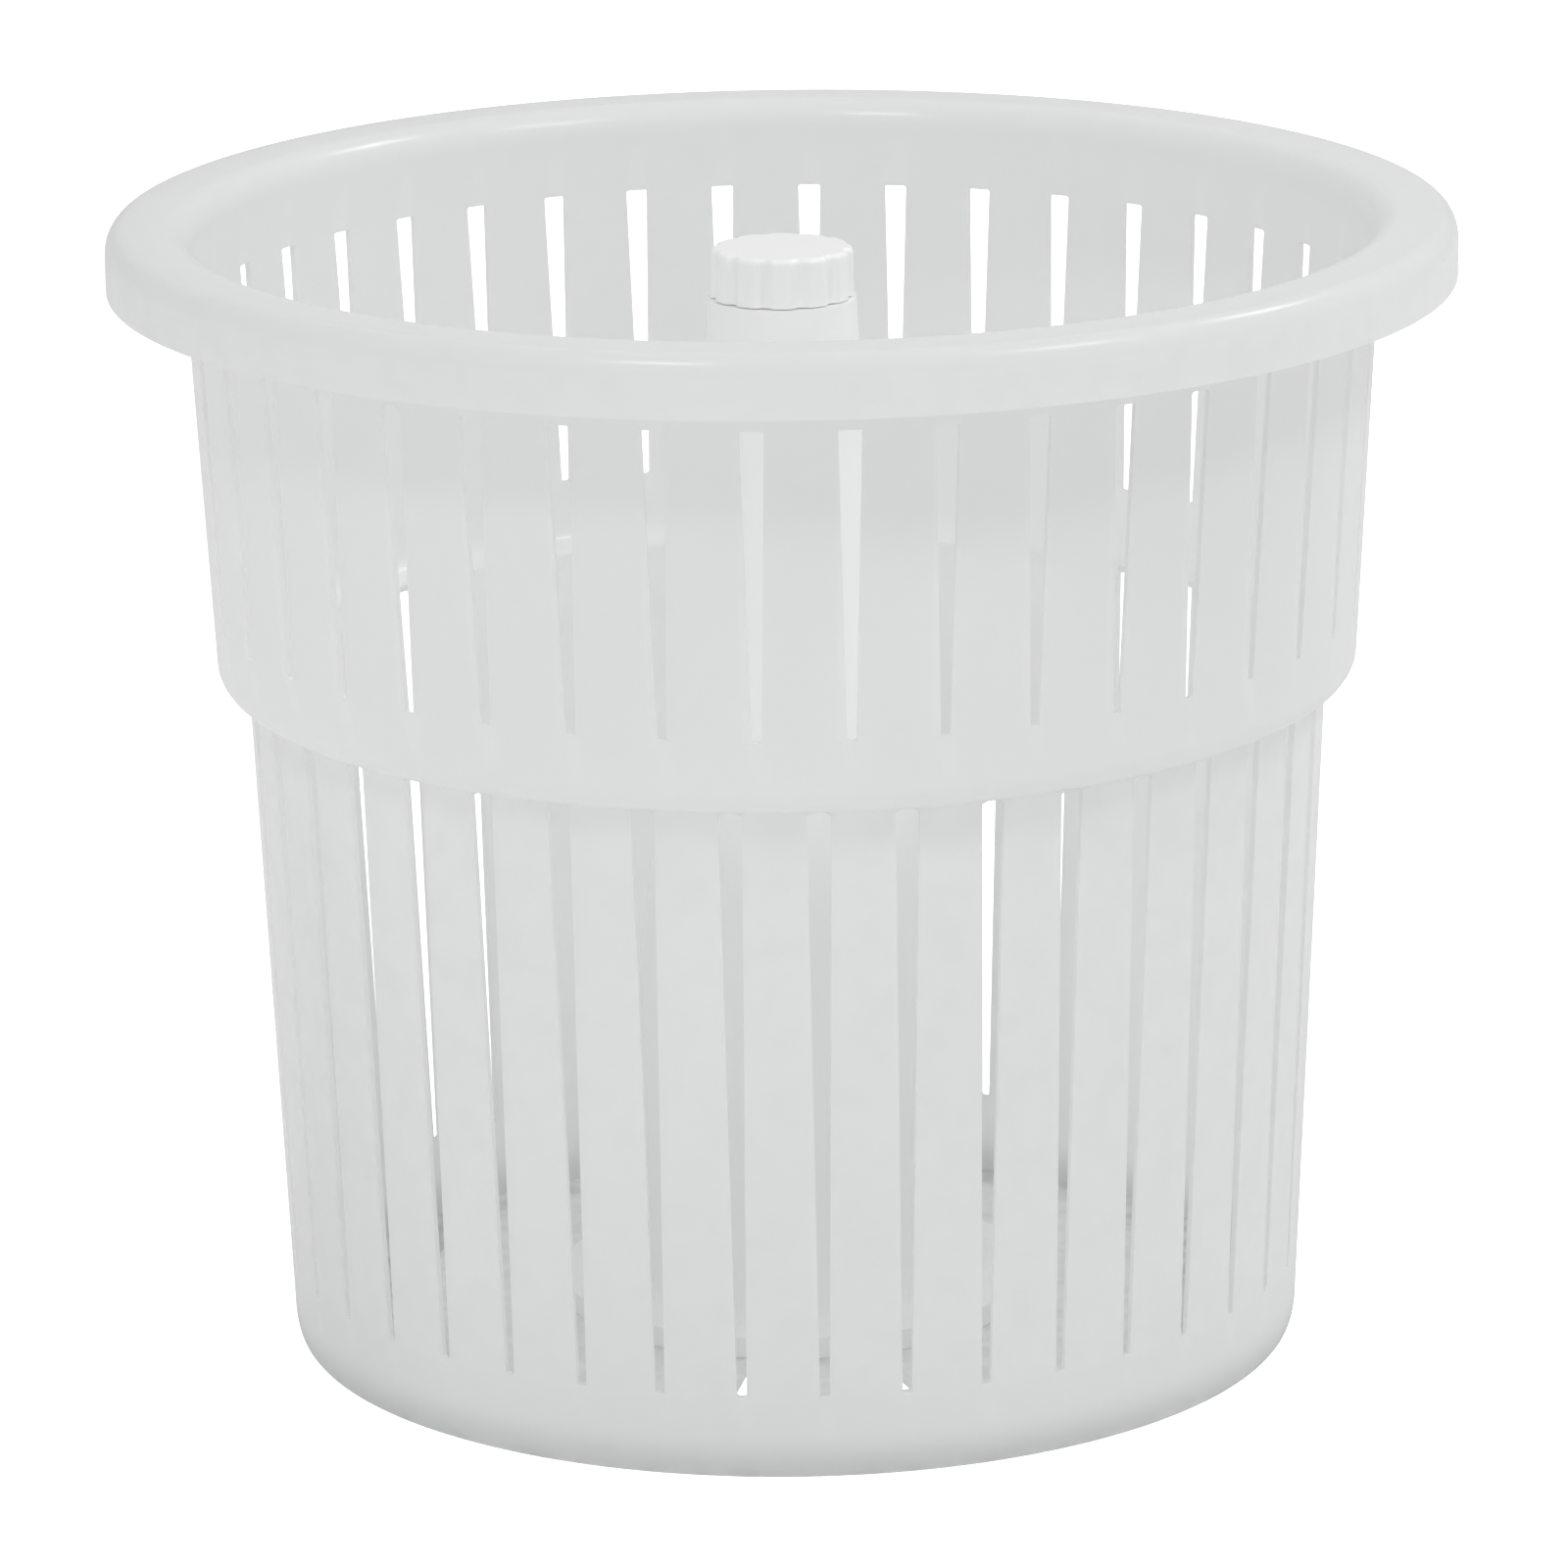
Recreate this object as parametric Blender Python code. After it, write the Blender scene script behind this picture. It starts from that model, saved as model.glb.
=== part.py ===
"""Inner basket of a large hand-cranked salad spinner, as an assembly of its separate pieces.

Frame: metres, +Z up, origin at the centre of the standing ring, Z along the spin axis.
Angles are degrees around Z, counted from -Y (the front) towards +X.
"""

import math

import bmesh
import bpy
from mathutils import Matrix

# Overall size
RIM_RADIUS = 0.190
HEIGHT = 0.326
WALL = 0.0016
GAP = 0.0003

# Rim: a channel that is open underneath
RIM_DEPTH = 0.0174
RIM_ROUND_OUT = (0.0051, 0.0070)
RIM_ROUND_IN = (0.0070, 0.0080)
RIM_OVERHANG = 0.0222

# Basket wall: an upper and a lower cone joined by a rounded shoulder
SHOULDER_SHARE = 0.616
SHOULDER_STEP = (0.0087, 0.0066)
UPPER_DRAFT = 0.054
LOWER_DRAFT = 0.0447
BASE_ROUND = (0.0038, 0.0110)

# Slots: one in each row for each sector, wider at the top than at the bottom
SECTORS = 40
SLOT_WIDTHS = (0.0066, 0.0027)
UPPER_SLOT_MARGINS = (0.0079, 0.0139)
LOWER_SLOT_FOOT = 0.0245
UPPER_PHASE = 6.04
LOWER_PHASE = 3.04

# Floor: a standing ring, a step up to the middle, and two pairs of drain windows
FLOOR_RISE = 0.007
STANDING_RING = 0.0253
STEP_RUN = 0.006
WINDOW_PAIRS = 2
WINDOW_PHASE = 4.54
WINDOW_SPAN = 30.0
WINDOW_RIB = 6.0
WINDOW_MARGIN = 0.011
WINDOW_INSET = 0.006

# Drive column: a hollow cone on a flat foot, with a narrow neck and a six-sided spigot on top
FOOT_MARGIN = 0.009
FOOT_HEIGHT = 0.0075
FOOT_FILLET = 0.004
COLUMN_TOP_RADIUS = 0.0210
NECK_TAPER = 0.040
NECK_LENGTH = 0.040
COLUMN_TAPER = 0.134
COLUMN_WALL = 0.003
COLUMN_CAP = 0.012
SPIGOT_RADIUS = 0.0115
SPIGOT_HEIGHT = 0.006

# Drive crown: the toothed head that the lid's drive drops on to
CROWN_DROP = 0.010
CROWN_HEIGHT = 0.0139
CROWN_RADIUS = 0.0202
TOOTH_COUNT = 12
TOOTH_DEPTH = 0.0013
CROWN_ROUND = 0.0018

# Crown screw, which comes up from inside the column, with its washer and threaded insert
CROWN_SCREW_RADIUS = 0.0025
CROWN_SCREW_LENGTH = 0.0245
CROWN_HEAD = (0.0048, 0.0030)
CROWN_WASHER = (0.0074, 0.0010)
INSERT_WALL = 0.0013
CROWN_INSERT_LENGTH = 0.005

# Foot screws with their threaded inserts
FOOT_SCREW_COUNT = 6
FOOT_SCREW_PHASE = 34.54
FOOT_SCREW_OFFSET = 0.003
FOOT_SCREW_RADIUS = 0.0020
FOOT_SCREW_LENGTH = 0.0075
FOOT_HEAD = (0.0040, 0.0023)
FOOT_INSERT_LENGTH = 0.0050

# Pivot: a sleeve that stays on the bowl's pin, and the bush that turns round it
SLEEVE_RADIUS = 0.0090
SLEEVE_BORE = 0.0052
SLEEVE_FOOT = 0.0010
COLLAR = (SLEEVE_RADIUS + 0.0060, 0.0025)
THRUST_THICKNESS = 0.0010
BUSH_RADIUS = SLEEVE_RADIUS + 0.0070
BUSH_FLANGE = (BUSH_RADIUS + 0.0050, 0.0027)
BUSH_NECK = (SLEEVE_RADIUS + 0.0050, 0.0190)
CLIP_THICKNESS = 0.0013
CLIP_RADIUS = SLEEVE_RADIUS + 0.0032
CLIP_OPENING = 0.0060
GROOVE_DEPTH = 0.0008

SMOOTH_ANGLE = math.radians(32)
MERGE = 1e-6

# Derived places
wall_top_radius = RIM_RADIUS - RIM_OVERHANG
rim_underside = HEIGHT - RIM_DEPTH
shoulder_top = SHOULDER_SHARE * HEIGHT
shoulder_bottom = shoulder_top - SHOULDER_STEP[1]
shoulder_radius = wall_top_radius - UPPER_DRAFT * (rim_underside - shoulder_top)
waist_radius = shoulder_radius - SHOULDER_STEP[0]
base_radius = waist_radius - LOWER_DRAFT * (shoulder_bottom - BASE_ROUND[1])
ring_inner = base_radius - BASE_ROUND[0] - STANDING_RING
step_inner = ring_inner - STEP_RUN
window_outer = step_inner - WINDOW_MARGIN
floor_top = FLOOR_RISE + WALL
foot_bottom = floor_top + GAP
crown_top = HEIGHT - CROWN_DROP
crown_bottom = crown_top - CROWN_HEIGHT
column_top = crown_bottom - GAP
cone_bottom = foot_bottom + FOOT_HEIGHT
neck_bottom = column_top - NECK_LENGTH
neck_radius = COLUMN_TOP_RADIUS + NECK_TAPER * NECK_LENGTH
cone_radius = neck_radius + COLUMN_TAPER * (neck_bottom - cone_bottom)
foot_screw_circle = cone_radius + FOOT_SCREW_OFFSET
foot_radius = foot_screw_circle + FOOT_MARGIN
window_inner = foot_radius + WINDOW_INSET
cap_bottom = column_top - COLUMN_CAP
socket_top = column_top + SPIGOT_HEIGHT + GAP
crown_bore = CROWN_SCREW_RADIUS + GAP + INSERT_WALL + GAP
foot_bore = FOOT_SCREW_RADIUS + GAP + INSERT_WALL + GAP
washer_bottom = cap_bottom - GAP - CROWN_WASHER[1]
crown_head_top = washer_bottom - GAP
foot_head_top = FLOOR_RISE - GAP
foot_insert_bottom = foot_bottom + GAP
collar_top = SLEEVE_FOOT + COLLAR[1]
thrust_bottom = collar_top + GAP
bush_bottom = thrust_bottom + THRUST_THICKNESS + GAP
bush_flange_bottom = floor_top + GAP
neck_top = bush_flange_bottom + BUSH_FLANGE[1] + BUSH_NECK[1]
clip_bottom = neck_top + GAP
sleeve_top = clip_bottom + CLIP_THICKNESS + 2 * GAP + COLLAR[1]


def clear_scene():
    for found in list(bpy.data.objects):
        bpy.data.objects.remove(found, do_unlink=True)


def polar(radius, angle, z=0.0):
    turn = math.radians(angle)
    return (radius * math.sin(turn), -radius * math.cos(turn), z)


def quarter(centre, size, start, steps):
    """Points of a quarter ellipse after its first one; start and the 90 degrees run in (radius, z)."""
    sweep = 90 if start >= 0 else -90
    first = max(start, 0)
    turns = [math.radians(first + sweep * step / steps) for step in range(1, steps + 1)]
    return [(centre[0] + size[0] * math.cos(t), centre[1] + size[1] * math.sin(t)) for t in turns]


def plastic(name, colour, roughness):
    return material(name, colour, roughness, 0.0)


def metal(name, colour, roughness):
    return material(name, colour, roughness, 1.0)


def material(name, colour, roughness, metallic):
    made = bpy.data.materials.new(name)
    made.use_nodes = True
    shader = made.node_tree.nodes["Principled BSDF"]
    shader.inputs["Base Color"].default_value = (*colour, 1.0)
    shader.inputs["Roughness"].default_value = roughness
    shader.inputs["Metallic"].default_value = metallic
    return made


def object_from(bm, name, finish=None, place=(0, 0, 0)):
    """A new object with this mesh; one without a finish is a cutter."""
    mesh = bpy.data.meshes.new(name)
    bm.to_mesh(mesh)
    bm.free()
    made = bpy.data.objects.new(name, mesh)
    bpy.context.scene.collection.objects.link(made)
    made.location = place
    mesh.shade_smooth()
    mesh.set_sharp_from_angle(angle=SMOOTH_ANGLE)
    if finish:
        mesh.materials.append(finish)
    else:
        made.hide_render = True
        made.display_type = "WIRE"
    return made


def turned_mesh(outline, segments):
    """A closed outline of (radius, z) points turned round Z; points at radius 0 close on the axis."""
    bm = bmesh.new()
    ring = [bm.verts.new((radius, 0, z)) for radius, z in outline]
    pairs = list(zip(ring, ring[1:]))
    if outline[0][0] > 0:
        pairs.append((ring[-1], ring[0]))
    edges = [bm.edges.new(pair) for pair in pairs]
    bmesh.ops.spin(
        bm, geom=ring + edges, cent=(0, 0, 0), axis=(0, 0, 1), angle=math.tau, steps=segments
    )
    bmesh.ops.remove_doubles(bm, verts=bm.verts, dist=MERGE)
    bmesh.ops.recalc_face_normals(bm, faces=bm.faces)
    return bm


def turned(name, outline, segments, finish, z):
    return object_from(turned_mesh(outline, segments), name, finish, (0, 0, z))


def rod_mesh(radius, bottom, top, segments, centre=(0, 0)):
    bm = bmesh.new()
    add_rod(bm, radius, bottom, top, segments, centre)
    return bm


def add_rod(bm, radius, bottom, top, segments, centre):
    bmesh.ops.create_cone(
        bm,
        cap_ends=True,
        segments=segments,
        radius1=radius,
        radius2=radius,
        depth=top - bottom,
        matrix=Matrix.Translation((centre[0], centre[1], (top + bottom) / 2)),
    )


def rods_on_circle(name, radius, bottom, top, segments):
    """One cutter of six rods, at the foot screws' places."""
    bm = bmesh.new()
    for number in range(FOOT_SCREW_COUNT):
        add_rod(bm, radius, bottom, top, segments, foot_screw_place(number)[:2])
    return object_from(bm, name)


def boolean(target, other, operation):
    step = target.modifiers.new(f"{operation.lower()} {other.name}", "BOOLEAN")
    step.operation = operation
    step.solver = "EXACT"
    step.object = other


def foot_screw_place(number):
    return polar(foot_screw_circle, FOOT_SCREW_PHASE + number * 360 / FOOT_SCREW_COUNT)


def slot_half_angle(width, radius):
    return math.degrees(width / 2 / radius)


def basket_rows():
    """The sheet's rows, from the skirt's lower edge over the rim and down inside to the hub hole.

    Each row is (radius, z, phase, half): phase is the angle of the slot's middle, and half the
    angle from there to the columns beside it.
    """
    even = 180 / SECTORS / 3
    upper_slot = (rim_underside - UPPER_SLOT_MARGINS[0], shoulder_top + UPPER_SLOT_MARGINS[1])
    inner_wall = wall_top_radius - WALL
    out_centre = (RIM_RADIUS - RIM_ROUND_OUT[0], HEIGHT - RIM_ROUND_OUT[1])
    in_centre = (inner_wall + RIM_ROUND_IN[0], HEIGHT - RIM_ROUND_IN[1])
    rim = [(RIM_RADIUS, rim_underside), (RIM_RADIUS, out_centre[1])]
    rim += quarter(out_centre, RIM_ROUND_OUT, 0, 2)
    rim += [(in_centre[0], HEIGHT)]
    rim += quarter(in_centre, RIM_ROUND_IN, 90, 2)
    rows = [(radius, z, UPPER_PHASE, even) for radius, z in rim]

    for z, width in zip(upper_slot, SLOT_WIDTHS):
        radius = inner_wall - UPPER_DRAFT * (rim_underside - z)
        rows.append((radius, z, UPPER_PHASE, slot_half_angle(width, radius)))

    inner_shoulder = shoulder_radius - WALL
    inner_waist = waist_radius - WALL
    lower_half = slot_half_angle(SLOT_WIDTHS[0], inner_waist)
    turn = (UPPER_PHASE - LOWER_PHASE) / 3
    middle = (inner_shoulder - 0.3 * SHOULDER_STEP[0], shoulder_top - 0.7 * SHOULDER_STEP[1])
    rows.append((inner_shoulder, shoulder_top, LOWER_PHASE + 2 * turn, lower_half))
    rows.append((*middle, LOWER_PHASE + turn, lower_half))
    rows.append((inner_waist, shoulder_bottom, LOWER_PHASE, lower_half))
    foot_radius = inner_waist - LOWER_DRAFT * (shoulder_bottom - LOWER_SLOT_FOOT)
    rows.append(
        (foot_radius, LOWER_SLOT_FOOT, LOWER_PHASE, slot_half_angle(SLOT_WIDTHS[1], foot_radius))
    )

    inner_round = (BASE_ROUND[0] - WALL, BASE_ROUND[1] - WALL)
    centre = (base_radius - WALL - inner_round[0], WALL + inner_round[1])
    floor = [(centre[0] + inner_round[0], centre[1])]
    floor += quarter(centre, inner_round, -90, 3)
    floor += [(ring_inner, WALL), (step_inner, floor_top), (window_outer, floor_top)]
    floor += [(window_inner, floor_top), (BUSH_RADIUS + GAP, floor_top)]
    grid = WINDOW_PHASE - even
    return rows + [(radius, z, grid, even) for radius, z in floor]


def basket_sector(bm, rows):
    """One sector of the sheet, three cells wide, with its upper and lower slots left open."""
    pitch = 360 / SECTORS
    columns = []
    for radius, z, phase, half in rows:
        angles = (phase - half, phase + half, phase + pitch / 2, phase + pitch - half)
        columns.append([bm.verts.new(polar(radius, angle, z)) for angle in angles])
    slot_tops = {
        round(rim_underside - UPPER_SLOT_MARGINS[0], 6),
        round(shoulder_bottom, 6),
    }
    for row, (above, below) in enumerate(zip(columns, columns[1:])):
        open_cell = round(rows[row][1], 6) in slot_tops
        for cell in range(3):
            if cell == 0 and open_cell:
                continue
            corners = (above[cell], above[cell + 1], below[cell + 1], below[cell])
            bm.faces.new(corners)


def in_window(face):
    """Whether this floor cell lies in a drain window."""
    centre = face.calc_center_median()
    radius = math.hypot(centre.x, centre.y)
    if not window_inner < radius < window_outer:
        return False
    pitch = 360 / WINDOW_PAIRS
    angle = math.degrees(math.atan2(centre.x, -centre.y)) - WINDOW_PHASE
    offset = abs((angle + pitch / 2) % pitch - pitch / 2)
    return WINDOW_RIB / 2 < offset < WINDOW_SPAN / 2


def make_basket(finish):
    bm = bmesh.new()
    basket_sector(bm, basket_rows())
    sector = bm.verts[:] + bm.edges[:] + bm.faces[:]
    pitch = math.tau / SECTORS
    bmesh.ops.spin(
        bm,
        geom=sector,
        cent=(0, 0, 0),
        axis=(0, 0, 1),
        angle=math.tau - pitch,
        steps=SECTORS - 1,
        use_duplicate=True,
    )
    bmesh.ops.remove_doubles(bm, verts=bm.verts, dist=MERGE)
    windows = [face for face in bm.faces if in_window(face)]
    bmesh.ops.delete(bm, geom=windows, context="FACES")
    basket = object_from(bm, "basket", finish)
    shell = basket.modifiers.new("wall thickness", "SOLIDIFY")
    shell.thickness = WALL
    shell.offset = -1
    shell.use_even_offset = True
    holes = rods_on_circle(
        "cut_floor_holes", FOOT_SCREW_RADIUS + GAP, FLOOR_RISE - WALL, floor_top + WALL, 12
    )
    boolean(basket, holes, "DIFFERENCE")


def make_drive_column(finish):
    outline = [
        (CROWN_SCREW_RADIUS + WALL, column_top),
        (COLUMN_TOP_RADIUS, column_top),
        (neck_radius, neck_bottom),
        (cone_radius, cone_bottom + FOOT_FILLET),
        (cone_radius + FOOT_FILLET, cone_bottom),
        (foot_radius, cone_bottom - WALL),
        (foot_radius, foot_bottom),
        (cone_radius - COLUMN_WALL, foot_bottom),
        (neck_radius - COLUMN_WALL, neck_bottom),
        (COLUMN_TOP_RADIUS + NECK_TAPER * COLUMN_CAP - COLUMN_WALL, cap_bottom),
        (CROWN_SCREW_RADIUS + WALL, cap_bottom),
    ]
    column = turned(
        "drive_column", [(radius, z - foot_bottom) for radius, z in outline], 48, finish, foot_bottom
    )
    core = object_from(
        rod_mesh(SPIGOT_RADIUS, cap_bottom + WALL, column_top + SPIGOT_HEIGHT, 6), "join_spigot"
    )
    bore = object_from(
        rod_mesh(CROWN_SCREW_RADIUS + GAP, cap_bottom - WALL, socket_top + WALL, 16),
        "cut_column_bore",
    )
    pockets = rods_on_circle(
        "cut_foot_pockets", foot_bore, foot_bottom - WALL, foot_bottom + FOOT_INSERT_LENGTH + 2 * GAP, 12
    )
    boolean(column, core, "UNION")
    boolean(column, bore, "DIFFERENCE")
    boolean(column, pockets, "DIFFERENCE")


def crown_teeth():
    """A prism with trapezoid teeth and a rounded top edge."""
    root = CROWN_RADIUS - TOOTH_DEPTH
    pitch = 360 / TOOTH_COUNT
    corners = ((-0.36, root), (-0.28, CROWN_RADIUS), (0.28, CROWN_RADIUS), (0.36, root))
    levels = ((crown_bottom, 0.0), (crown_top - CROWN_ROUND, 0.0))
    levels += ((crown_top - 0.3 * CROWN_ROUND, 0.3 * CROWN_ROUND), (crown_top, CROWN_ROUND))
    bm = bmesh.new()
    rings = []
    for z, inward in levels:
        ring = []
        for tooth in range(TOOTH_COUNT):
            for share, radius in corners:
                ring.append(bm.verts.new(polar(radius - inward, (tooth + share) * pitch, z)))
        rings.append(ring)
    for low, high in zip(rings, rings[1:]):
        for first in range(len(low)):
            second = (first + 1) % len(low)
            bm.faces.new((low[first], low[second], high[second], high[first]))
    bm.faces.new(reversed(rings[0]))
    bm.faces.new(rings[-1])
    return bm


def make_drive_crown(finish):
    crown = object_from(crown_teeth(), "drive_crown", finish)
    socket = object_from(
        rod_mesh(SPIGOT_RADIUS + 2 * GAP, crown_bottom - WALL, socket_top, 6), "cut_crown_socket"
    )
    bore = object_from(
        rod_mesh(crown_bore, crown_bottom, socket_top + CROWN_INSERT_LENGTH + 2 * GAP, 16),
        "cut_crown_bore",
    )
    for cutter in (socket, bore):
        boolean(crown, cutter, "DIFFERENCE")


def make_screw(name, radius, length, head, finish, place):
    """A pan-head screw pointing up, with a six-sided socket; its origin is where head and shank meet."""
    outline = [
        (0, length),
        (radius / 2, length),
        (radius, length - radius / 2),
        (radius, 0),
        (head[0], 0),
        (head[0], -head[1] * 0.45),
        (head[0] * 0.7, -head[1]),
        (0, -head[1]),
    ]
    screw = object_from(turned_mesh(outline, 12), name, finish, place)
    recess = rod_mesh(head[0] * 0.42, -head[1] * 2, -head[1] * 0.4, 6)
    socket = object_from(recess, f"cut_{name}_socket", None, place)
    boolean(screw, socket, "DIFFERENCE")


def make_insert(name, bore, length, finish, place):
    """A threaded insert: a ring with a groove round its middle."""
    outer = bore + INSERT_WALL
    groove = INSERT_WALL / 3
    outline = [
        (bore, length),
        (outer, length),
        (outer, length * 0.6),
        (outer - groove, length * 0.5),
        (outer, length * 0.4),
        (outer, 0),
        (bore, 0),
    ]
    object_from(turned_mesh(outline, 12), name, finish, place)


def make_ring(name, bore, radius, thickness, segments, finish, z):
    outline = [(bore, thickness), (radius, thickness), (radius, 0), (bore, 0)]
    return turned(name, outline, segments, finish, z)


def make_crown_fixings(steel, brass):
    make_ring(
        "crown_washer", CROWN_SCREW_RADIUS + GAP, CROWN_WASHER[0], CROWN_WASHER[1], 24, steel,
        washer_bottom,
    )
    make_screw(
        "crown_screw", CROWN_SCREW_RADIUS, CROWN_SCREW_LENGTH, CROWN_HEAD, steel,
        (0, 0, crown_head_top),
    )
    make_insert(
        "crown_insert", CROWN_SCREW_RADIUS + GAP, CROWN_INSERT_LENGTH, brass, (0, 0, socket_top + GAP)
    )


def make_foot_fixings(steel, brass):
    for number in range(FOOT_SCREW_COUNT):
        x, y, _ = foot_screw_place(number)
        make_screw(
            f"foot_screw_{number + 1}", FOOT_SCREW_RADIUS, FOOT_SCREW_LENGTH, FOOT_HEAD, steel,
            (x, y, foot_head_top),
        )
        make_insert(
            f"foot_insert_{number + 1}", FOOT_SCREW_RADIUS + GAP, FOOT_INSERT_LENGTH, brass,
            (x, y, foot_insert_bottom),
        )


def make_pivot_bush(finish):
    flange = bush_flange_bottom - bush_bottom
    top = neck_top - bush_bottom
    bore = SLEEVE_RADIUS + GAP
    outline = [
        (bore, top),
        (BUSH_NECK[0], top),
        (BUSH_NECK[0], flange + BUSH_FLANGE[1]),
        (BUSH_FLANGE[0], flange + BUSH_FLANGE[1]),
        (BUSH_FLANGE[0], flange),
        (BUSH_RADIUS, flange),
        (BUSH_RADIUS, 0),
        (bore, 0),
    ]
    turned("pivot_bush", outline, 32, finish, bush_bottom)


def make_pivot_sleeve(finish, axis):
    """The sleeve with its collar below and the clip's groove above."""
    top = sleeve_top - SLEEVE_FOOT
    groove = clip_bottom - GAP - SLEEVE_FOOT
    groove_top = groove + CLIP_THICKNESS + 2 * GAP
    groove_radius = SLEEVE_RADIUS - GROOVE_DEPTH
    outline = [
        (SLEEVE_BORE, top),
        (SLEEVE_RADIUS, top),
        (SLEEVE_RADIUS, groove_top),
        (groove_radius, groove_top),
        (groove_radius, groove),
        (SLEEVE_RADIUS, groove),
        (SLEEVE_RADIUS, COLLAR[1]),
        (COLLAR[0], COLLAR[1]),
        (COLLAR[0], 0),
        (SLEEVE_BORE, 0),
    ]
    turned("pivot_sleeve", outline, 32, finish, SLEEVE_FOOT).parent = axis


def make_retaining_clip(finish, axis):
    """A ring with a gap at the front, in the sleeve's groove."""
    bore = SLEEVE_RADIUS - GROOVE_DEPTH + GAP
    clip = make_ring("retaining_clip", bore, CLIP_RADIUS, CLIP_THICKNESS, 32, finish, clip_bottom)
    clip.parent = axis
    bm = bmesh.new()
    size = Matrix.Diagonal((CLIP_OPENING, 2 * CLIP_RADIUS, 4 * CLIP_THICKNESS, 1))
    bmesh.ops.create_cube(
        bm, size=1, matrix=Matrix.Translation((0, -CLIP_RADIUS, clip_bottom)) @ size
    )
    boolean(clip, object_from(bm, "cut_clip_opening"), "DIFFERENCE")


def make_pivot(acetal, steel):
    """The pieces that stay on the bowl's pin hang from one empty on the spin axis."""
    axis = bpy.data.objects.new("pivot_axis", None)
    bpy.context.scene.collection.objects.link(axis)
    make_pivot_bush(acetal)
    make_pivot_sleeve(steel, axis)
    washer = make_ring(
        "thrust_washer", SLEEVE_RADIUS + GAP, COLLAR[0], THRUST_THICKNESS, 32, acetal, thrust_bottom
    )
    washer.parent = axis
    make_retaining_clip(steel, axis)


def main():
    clear_scene()
    basket_plastic = plastic("natural_polypropylene", (0.72, 0.73, 0.73), 0.38)
    column_plastic = plastic("white_polypropylene", (0.86, 0.87, 0.87), 0.34)
    acetal = plastic("grey_acetal", (0.30, 0.31, 0.32), 0.42)
    steel = metal("stainless_steel", (0.62, 0.62, 0.63), 0.28)
    brass = metal("brass", (0.72, 0.54, 0.24), 0.34)
    make_basket(basket_plastic)
    make_drive_column(column_plastic)
    make_drive_crown(column_plastic)
    make_crown_fixings(steel, brass)
    make_foot_fixings(steel, brass)
    make_pivot(acetal, steel)


main()
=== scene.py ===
"""Looks of a large salad spinner's inner basket: mouldings, turned metal pieces and finishes."""

import math

import bmesh
import bpy
from mathutils import Matrix, Vector


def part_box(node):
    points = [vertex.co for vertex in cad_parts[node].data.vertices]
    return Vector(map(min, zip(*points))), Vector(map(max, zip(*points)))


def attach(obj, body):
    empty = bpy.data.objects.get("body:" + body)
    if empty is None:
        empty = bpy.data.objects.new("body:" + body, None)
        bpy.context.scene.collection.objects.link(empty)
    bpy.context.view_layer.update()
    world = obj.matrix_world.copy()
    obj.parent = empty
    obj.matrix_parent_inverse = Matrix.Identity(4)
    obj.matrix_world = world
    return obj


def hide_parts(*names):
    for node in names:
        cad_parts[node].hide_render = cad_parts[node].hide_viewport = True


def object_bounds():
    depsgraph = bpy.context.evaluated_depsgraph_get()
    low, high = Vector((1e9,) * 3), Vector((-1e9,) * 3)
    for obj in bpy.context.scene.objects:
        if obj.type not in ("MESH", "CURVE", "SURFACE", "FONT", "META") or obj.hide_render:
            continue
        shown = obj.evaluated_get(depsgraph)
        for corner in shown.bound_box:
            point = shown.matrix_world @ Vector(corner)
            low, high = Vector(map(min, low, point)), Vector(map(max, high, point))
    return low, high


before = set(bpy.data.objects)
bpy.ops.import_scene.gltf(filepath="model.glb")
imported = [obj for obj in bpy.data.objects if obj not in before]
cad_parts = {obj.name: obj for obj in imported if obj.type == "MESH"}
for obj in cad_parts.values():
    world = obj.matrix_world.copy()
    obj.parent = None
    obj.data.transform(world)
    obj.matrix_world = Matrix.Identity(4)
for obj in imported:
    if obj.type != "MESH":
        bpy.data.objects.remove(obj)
cad_box = [list(corner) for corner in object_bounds()]

# Overall size, read from the frame
rim_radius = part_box("basket")[1].x
rim_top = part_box("basket")[1].z
foot_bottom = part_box("drive_column")[0].z
foot_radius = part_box("drive_column")[1].x
crown_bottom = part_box("drive_crown")[0].z
crown_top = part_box("drive_crown")[1].z

# Basket wall, in metres
WALL = 0.0016
GAP = 0.0003
RIM_DEPTH = 0.0174
RIM_ROUND_OUT = (0.0051, 0.0070)
RIM_ROUND_IN = (0.0070, 0.0080)
RIM_OVERHANG = 0.0222
SHOULDER_TOP = 0.2008
SHOULDER_STEP = (0.0087, 0.0066)
UPPER_DRAFT = 0.054
LOWER_DRAFT = 0.0447
BASE_ROUND = (0.0038, 0.0110)
EDGE_ROUND = 0.00035

# Slots and windows; angles in degrees from the front, towards +X
SECTORS = 40
GRID_START = 1.54
CELLS = 6
SLOT_WIDTHS = (0.0066, 0.0027)
UPPER_SLOT = (0.3007, 0.2147)
LOWER_SLOT_FOOT = 0.0245
UPPER_PHASE = 6.04
LOWER_PHASE = 3.04
SLOT_CORNER = 0.0007
SLOT_MARGIN = 0.0016
FLOOR_RISE = 0.007
STANDING_RING = 0.0253
STEP_RUN = 0.006
WINDOW_MARGIN = 0.011
WINDOW_PITCH = 180.0
WINDOW_PHASE = 4.54
WINDOW_SPAN = 30.0
WINDOW_RIB = 6.0
WINDOW_CORNER = 0.0022
WINDOW_INSET = 0.006
HUB_HOLE = 0.0163

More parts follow.
